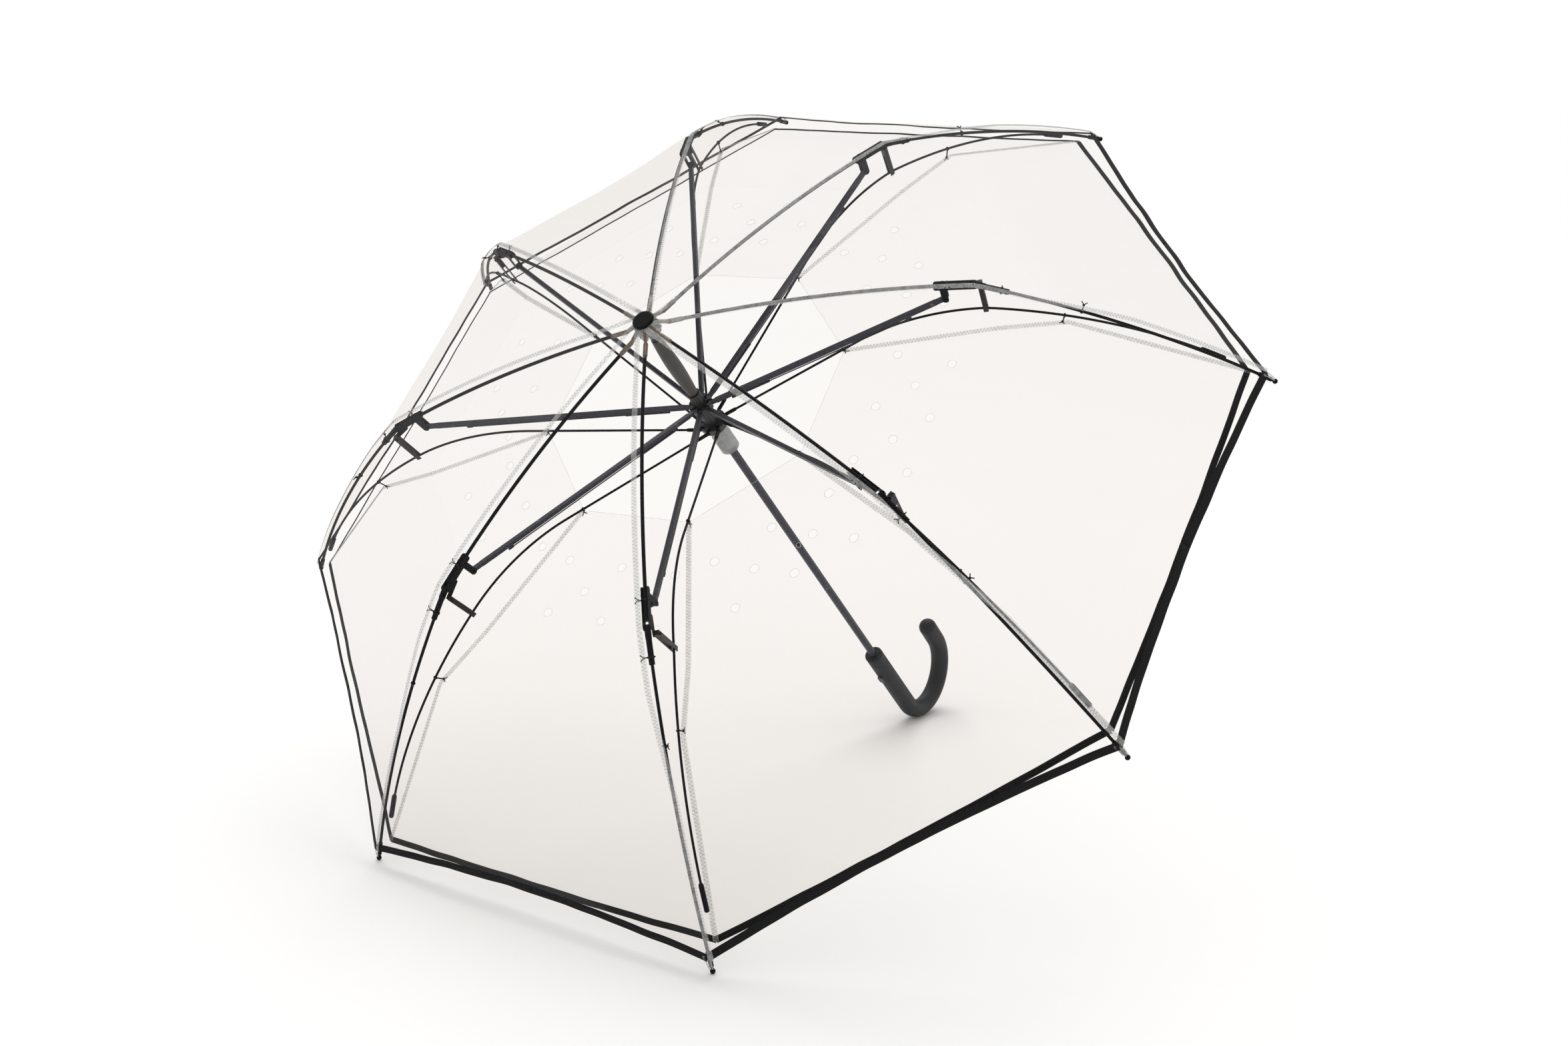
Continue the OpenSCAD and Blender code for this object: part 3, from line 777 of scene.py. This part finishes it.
def hem(name, film, i, step, width, body):
    """Half of one panel's bound hem, from the rib to the panel's middle."""
    count = 36
    path, normals = [], []
    for k in range(count + 1):
        u = 0.5 * k / count
        p = film.place(i, step, u, 1.0)
        inward = (film.place(i, step, u, 0.97) - p).normalized()
        ahead = film.place(i, step, min(0.5, u + 0.01), 1.0) - film.place(i, step, max(0.0, u - 0.01), 1.0)
        normal = ahead.cross(inward).normalized() * step
        wobble = ripple(p, 0.03, 0.9 * MM)
        path.append(p + inward * (width * 0.32 + wobble * 0.5) + normal * wobble * 0.6)
        normals.append(normal)
    shape = Shape()
    sweep(shape, path, tape_outline(width, HEM_THICK), normals)
    piece = shape.make(name, BINDING)
    anchor = film.place(i, step, 0.0, 0.5)
    gather(piece)
    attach(piece, body)
    return piece


def seam_aside(radius):
    """How far the seam lies to the side of its rib: it crosses over by the outermost tie."""
    share = min(1.0, max(0.0, (radius - 330 * MM) / (70 * MM)))
    return (-5.2 + 8.6 * share) * MM


def no_shift(radius):
    return 0.0


def seam(name, line, i, body, side, count, aside=seam_aside, lift=0.4 * MM):
    """Welt and zig-zag stitches along a rib."""
    middle, normals, left, right = [], [], [], []
    for k in range(count + 1):
        t = k / count
        p = line(t)
        q = line(min(1.0, t + 0.01)) - line(max(0.0, t - 0.01))
        outer = p.x > KNUCKLE.x
        radial = OUT_RADIAL[i] if outer else RADIAL[i]
        across = OUT_ACROSS[i] if outer else ACROSS[i]
        along = (radial * q.x - UP * q.y).normalized()
        normal = along.cross(across).normalized()
        if normal.dot(UP) < 0:
            normal = -normal
        at = spot(i, p, side) + across * aside(p.x) + normal * lift
        middle.append(at)
        normals.append(normal)
        left.append(at + across * SEAM_W * 0.36 + normal * 0.25 * MM)
        right.append(at - across * SEAM_W * 0.36 + normal * 0.25 * MM)
    shape = Shape()
    sweep(shape, middle, tape_outline(SEAM_W, 0.35 * MM), normals, 0)
    zig = []
    for k in range(count):
        zig.append(left[k].lerp(left[k + 1], 0.1))
        zig.append(right[k].lerp(right[k + 1], 0.6))
    hints = [normals[k // 2] for k in range(len(zig))]
    sweep(shape, zig, [(-0.3 * MM, 0), (0, -0.16 * MM), (0.3 * MM, 0), (0, 0.16 * MM)], hints, 1)
    piece = shape.make(name, [FILM_EDGE, STITCH])
    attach(piece, body)
    return piece


def tie(shape, centre, way, across, normal, around, reach):
    """Thread wound round a rod and knotted to the film, with two loose ends."""
    for shift in (-0.5, 0.25):
        ring = [
            centre
            + way * shift * MM
            + (across * math.cos(a) + normal * math.sin(a)) * (around + THREAD_R * 0.7)
            for a in [2 * math.pi * k / 14 for k in range(14)]
        ]
        rim(shape, ring, THREAD_R, 0)
    knot = centre + across * reach[0] + normal * reach[1]
    neck = [centre + (knot - centre).normalized() * around, knot]
    sweep(shape, neck, round_outline(THREAD_R * 1.3, 6), way)
    ball(shape, knot, 1.2 * MM)
    for turn in (-1, 1):
        end = knot + (knot - centre).normalized() * 2.6 * MM + way * turn * 2.4 * MM
        bend = knot.lerp(end, 0.5) + normal * 0.5 * MM
        sweep(shape, [knot, bend, end], round_outline(THREAD_R, 6), normal)
        ball(shape, end, 0.55 * MM, 0, 4, 6)


def rib_direction(radius):
    a, b = rib_plane_point(radius - MM), rib_plane_point(radius + MM)
    return (b - a).normalized()


def rib_tie(name, i, radius, around, side_sign, body):
    outer = radius > KNUCKLE.x
    radial = OUT_RADIAL[i] if outer else RADIAL[i]
    across = OUT_ACROSS[i] if outer else ACROSS[i]
    d = rib_direction(radius)
    way = (radial * d.x - UP * d.y).normalized()
    normal = way.cross(across)
    if normal.dot(UP) < 0:
        normal = -normal
    shape = Shape()
    centre = spot(i, rib_plane_point(radius))
    reach = (side_sign * (around + 2.6 * MM), FILM_GAP * 0.75)
    tie(shape, centre, way, across, normal, around, reach)
    if side_sign < 0:
        far = centre + across * (around + 1.6 * MM) + normal * 1.2 * MM
        sweep(shape, [centre + across * around, far], round_outline(THREAD_R, 6), way)
        ball(shape, far, 0.6 * MM, 0, 4, 6)
    piece = shape.make(name, TIE)
    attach(piece, body)
    return piece


# ---------------------------------------------------------------- thin rods

THIN_BEND = math.radians(37)
THIN_TURN = BRACKET_END + Vector((-120.5, 3.2)) * MM


def thin_inner_path():
    """Plane points of the thin rod from the runner to its bracket."""
    straight = [THIN_RING.lerp(THIN_TURN, k / 12) for k in range(12)]
    return straight + [arc_point(THIN_TURN, BRACKET_END, THIN_BEND, k / 24) for k in range(25)]


def thin_outer_path():
    start = BRACKET_END + Vector((0.6, 0.2)) * MM
    return [arc_point(start, CLAMP, math.radians(28), k / 30) for k in range(31)]


def on_thin(path, radius):
    for a, b in zip(path, path[1:]):
        if a.x <= radius <= b.x:
            return a.lerp(b, (radius - a.x) / max(b.x - a.x, 1e-9))
    return path[-1]


def straighten(piece):
    """Gives the rod its own copy of its mesh."""
    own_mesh(piece)


def thin_rods(i):
    across = ACROSS[i]
    inner = [spot(i, p, SIDE) for p in thin_inner_path()]
    shape = Shape()
    sweep(shape, inner, round_outline(THIN_R, 12), across)
    start, ahead = inner[0], (inner[1] - inner[0]).normalized()
    sweep(
        shape,
        [start + ahead * k * MM for k in (1.0, 2.0, 13.0, 14.5)],
        round_outline(1.75 * MM, 14),
        across,
        0,
        lambda t: 0.8 if t in (0.0, 1.0) else 1.0,
    )
    eye = [
        start + (ahead * math.cos(a) + ahead.cross(across) * math.sin(a)) * 1.4 * MM
        for a in [2 * math.pi * k / 16 for k in range(16)]
    ]
    rim(shape, eye, 0.75 * MM, 0)
    piece = shape.make(f"thin_rod_inner_{i}", THIN_ROD)
    straighten(piece)
    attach(piece, f"thin_inner_{i}")
    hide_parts(f"thin_inner_{i}")

    outer = [spot(i, p, SIDE) for p in thin_outer_path()]
    shape = Shape()
    sweep(shape, outer, round_outline(THIN_R, 12), OUT_ACROSS[i])
    end, back = outer[-1], (outer[-2] - outer[-1]).normalized()
    sweep(
        shape,
        [end + back * k * MM for k in (-5.0, -3.8, 18.0, 20.0)],
        round_outline(2.3 * MM, 14),
        OUT_ACROSS[i],
        0,
        lambda t: 0.75 if t in (0.0, 1.0) else 1.0,
    )
    piece = shape.make(f"thin_rod_outer_{i}", THIN_ROD)
    straighten(piece)
    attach(piece, f"rib_outer_{i}")
    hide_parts(f"thin_outer_{i}")


def thin_tie(name, i, path, radius, body, drop):
    """Thread that holds the inner film to a thin rod."""
    p = on_thin(path, radius)
    q = on_thin(path, radius + 2 * MM)
    outer = radius > KNUCKLE.x
    radial = OUT_RADIAL[i] if outer else RADIAL[i]
    across = OUT_ACROSS[i] if outer else ACROSS[i]
    way = (radial * (q.x - p.x) - UP * (q.y - p.y)).normalized()
    normal = way.cross(across)
    if normal.dot(UP) > 0:
        normal = -normal
    shape = Shape()
    tie(shape, spot(i, p, SIDE), way, across, normal, THIN_R, (0.4 * MM, drop))
    piece = shape.make(name, TIE)
    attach(piece, body)
    return piece


TIP_TAB_LINE = ((0.945, 4.3), (0.962, 3.9), (0.978, 3.0), (0.992, 2.2))


def tip_tab(i):
    """Clear corner of the outer film, gathered and sewn to the tip."""
    path = [spot(i, on_outer_rib(t, gap * MM)) for t, gap in TIP_TAB_LINE]
    shape = Shape()
    normal = (path[1] - path[0]).cross(OUT_ACROSS[i]).normalized()
    sweep(shape, path, tape_outline(8 * MM, 0.5 * MM), normal, 0, lambda t: 1.0 - 0.45 * t)
    for shift in (-1, 1):
        line = [
            p + OUT_ACROSS[i] * shift * (2.6 - 0.4 * k) * MM + normal * -0.3 * MM
            for k, p in enumerate(path)
        ]
        sweep(shape, line, round_outline(0.28 * MM, 6), normal, 1)
    piece = shape.make(f"tip_tab_{i}", [FILM_EDGE, STITCH])
    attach(piece, f"rib_outer_{i}")
    return piece


def rib_pieces(i):
    thin_rods(i)
    inner_path, outer_path = thin_inner_path(), thin_outer_path()
    for step in (1, -1):
        outer_films(i, step)
        inner_films(i, step)
        label = f"{i}{SIDE_LETTER[step]}"
        body = f"rib_outer_{i}"
        hem(f"hem_outer_{label}", OUTER_OUT, i, step, OUTER_HEM_W, body)
        hem(f"hem_inner_{label}", INNER_OUT, i, step, INNER_HEM_W, body)
    seam(f"seam_outer_upper_{i}", outer_inside_line, i, f"rib_inner_{i}", 0.0, 96)
    seam(f"seam_outer_lower_{i}", outer_outside_line, i, f"rib_outer_{i}", 0.0, 96)
    seam(f"seam_inner_upper_{i}", inner_inside_line, i, f"thin_inner_{i}", SIDE, 46, no_shift)
    seam(f"seam_inner_lower_{i}", inner_outside_line, i, f"rib_outer_{i}", SIDE, 78, no_shift)
    rib_tie(f"tie_{i}_a", i, 263 * MM, 2.5 * MM, -1, f"rib_inner_{i}")
    rib_tie(f"tie_{i}_b", i, 305 * MM, 2.5 * MM, -1, f"rib_outer_{i}")
    rib_tie(f"tie_{i}_c", i, 363 * MM, ROD_OUTER, 1, f"rib_outer_{i}")
    thin_tie(f"tie_{i}_vent", i, inner_path, VENT_TIE.x, f"thin_inner_{i}", 3.0 * MM)
    thin_tie(f"tie_{i}_mid", i, outer_path, MID_TIE.x, f"rib_outer_{i}", 9.0 * MM)
    tip_tab(i)


for i in RIBS:
    rib_pieces(i)

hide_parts("canopy_outer")
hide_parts("canopy_inner")

# ---------------------------------------------------------------- the shaft's catch

CATCH_DROP = 350 * MM
CATCH_TURN = math.radians(-32)
CATCH_LENGTH = 7 * MM
CATCH_WIDTH = 4.4 * MM
SHAFT_R = 4 * MM


def shaft_catch():
    """Spring catch that holds the runner up: an oval slot with a bright rim and a rounded blade."""
    middle = BASE - UP * CATCH_DROP
    first = Vector((1, 0, 0))
    second = UP.cross(first).normalized()
    out = (first * math.cos(CATCH_TURN) + second * math.sin(CATCH_TURN)).normalized()
    aside = UP.cross(out)
    ring = []
    for k in range(28):
        turn = 2 * math.pi * k / 28
        across = CATCH_WIDTH / 2 * math.cos(turn)
        depth = math.sqrt(SHAFT_R**2 - across**2)
        along = UP * CATCH_LENGTH / 2 * math.sin(turn)
        ring.append(middle + out * (depth + 0.1 * MM) + aside * across + along)
    shape = Shape()
    rim(shape, ring, 0.35 * MM, 0)
    blade = [
        middle
        + UP * (0.38 * t - 0.19) * 14 * MM
        + out * (SHAFT_R - 0.4 * MM + 1.5 * MM * math.sin(math.pi * t))
        for t in [k / 12 for k in range(13)]
    ]
    sweep(shape, blade, tape_outline(2.6 * MM, 0.8 * MM), out, 1)
    piece = shape.make("shaft_catch", [SPRING, BRACKET])
    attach(piece, "shaft")


shaft_catch()

# ---------------------------------------------------------------- materials of the CAD nodes

NODE_LOOKS = {
    "shaft": SHAFT,
    "opening_spring": SPRING,
    "crown_notch": NOTCH,
    "crown_cap": CAP,
    "stop_sleeve": SLEEVE,
    "runner": RUNNER,
    "runner_collar": COLLAR,
    "handle": HANDLE,
    "push_button": BUTTON,
    "rib_inner": RIB,
    "rib_outer": RIB,
    "stretcher": STRETCHER,
    "bracket": BRACKET,
}


def node_kind(name):
    return name.rsplit("_", 1)[0] if name[-1].isdigit() else name


for name, node in frame["nodes"].items():
    look = NODE_LOOKS.get(node_kind(name))
    if look:
        node.data.materials.clear()
        node.data.materials.append(look)

# ---------------------------------------------------------------- stage, lights and camera

CAMERA_AIM = BASE + Vector((0.0246, 0.18924, -0.2091))
CAMERA_DISTANCE = 1.9133
CAMERA_HEADING = -33.5605
CAMERA_PITCH = -13.5803
CAMERA_ROLL = 1.6101
LENS = 45.068


def add_camera():
    data = bpy.data.cameras.new("camera")
    data.sensor_width = 36.0
    data.lens = LENS
    data.clip_start = 0.05
    data.clip_end = 100.0
    camera = bpy.data.objects.new("camera", data)
    bpy.context.scene.collection.objects.link(camera)
    heading, pitch = math.radians(CAMERA_HEADING), math.radians(CAMERA_PITCH)
    ahead = Vector(
        (math.sin(heading) * math.cos(pitch), math.cos(heading) * math.cos(pitch), math.sin(pitch))
    )
    turn = ahead.to_track_quat("-Z", "Y").to_matrix().to_4x4()
    roll = Matrix.Rotation(math.radians(CAMERA_ROLL), 4, "Z")
    camera.matrix_world = Matrix.Translation(CAMERA_AIM - ahead * CAMERA_DISTANCE) @ turn @ roll
    bpy.context.scene.camera = camera


def add_floor():
    size = 40.0
    points = [Vector((x, y, 0)) for x, y in ((-size, -size), (size, -size), (size, size), (-size, size))]
    n = Nodes("studio_floor")
    tone = n.mix(n.noise(3.0, 2.0), rgb(0.9, 0.9, 0.895), rgb(0.92, 0.92, 0.915))
    floor = mesh_object("floor", points, [(0, 1, 2, 3)], n.done(n.shader(tone, 0.85, Specular_IOR_Level=0.1)))


def add_world():
    world = bpy.data.worlds.new("studio")
    bpy.context.scene.world = world
    world.use_nodes = True
    tree = world.node_tree
    tree.nodes.clear()
    out = tree.nodes.new("ShaderNodeOutputWorld")
    seen = tree.nodes.new("ShaderNodeBackground")
    seen.inputs["Color"].default_value = rgb(1, 1, 1)
    seen.inputs["Strength"].default_value = 1.1
    light = tree.nodes.new("ShaderNodeBackground")
    light.inputs["Color"].default_value = rgb(1.0, 0.995, 0.985)
    light.inputs["Strength"].default_value = 0.7
    path = tree.nodes.new("ShaderNodeLightPath")
    mixed = tree.nodes.new("ShaderNodeMixShader")
    tree.links.new(path.outputs["Is Camera Ray"], mixed.inputs[0])
    tree.links.new(light.outputs[0], mixed.inputs[1])
    tree.links.new(seen.outputs[0], mixed.inputs[2])
    tree.links.new(mixed.outputs[0], out.inputs["Surface"])


def add_sun(tilt, turn, spread, strength):
    """Broad even key light that reaches the whole floor alike."""
    data = bpy.data.lights.new("key", "SUN")
    data.energy = strength
    data.angle = math.radians(spread)
    lamp = bpy.data.objects.new("key", data)
    bpy.context.scene.collection.objects.link(lamp)
    lamp.rotation_euler = (math.radians(tilt), 0, math.radians(turn))


def add_softbox(name, place, aim, size, power):
    data = bpy.data.lights.new(name, "AREA")
    data.shape = "RECTANGLE"
    data.size, data.size_y = size
    data.energy = power
    lamp = bpy.data.objects.new(name, data)
    bpy.context.scene.collection.objects.link(lamp)
    way = Vector(aim) - Vector(place)
    lamp.matrix_world = Matrix.Translation(Vector(place)) @ way.to_track_quat("-Z", "Y").to_matrix().to_4x4()


add_camera()
add_floor()
add_world()
add_sun(26, -146, 50, 1.5)
add_softbox("softbox_left", (-3.4, -0.6, 2.6), (0, 0, 0.5), (1.2, 2.2), 5.0)
add_softbox("softbox_right", (3.0, 1.4, 2.6), (0, 0, 0.4), (1.0, 2.0), 5.0)

scene = bpy.context.scene
scene.view_settings.view_transform = "Standard"
scene.cycles.transparent_max_bounces = 32
scene.cycles.max_bounces = 10
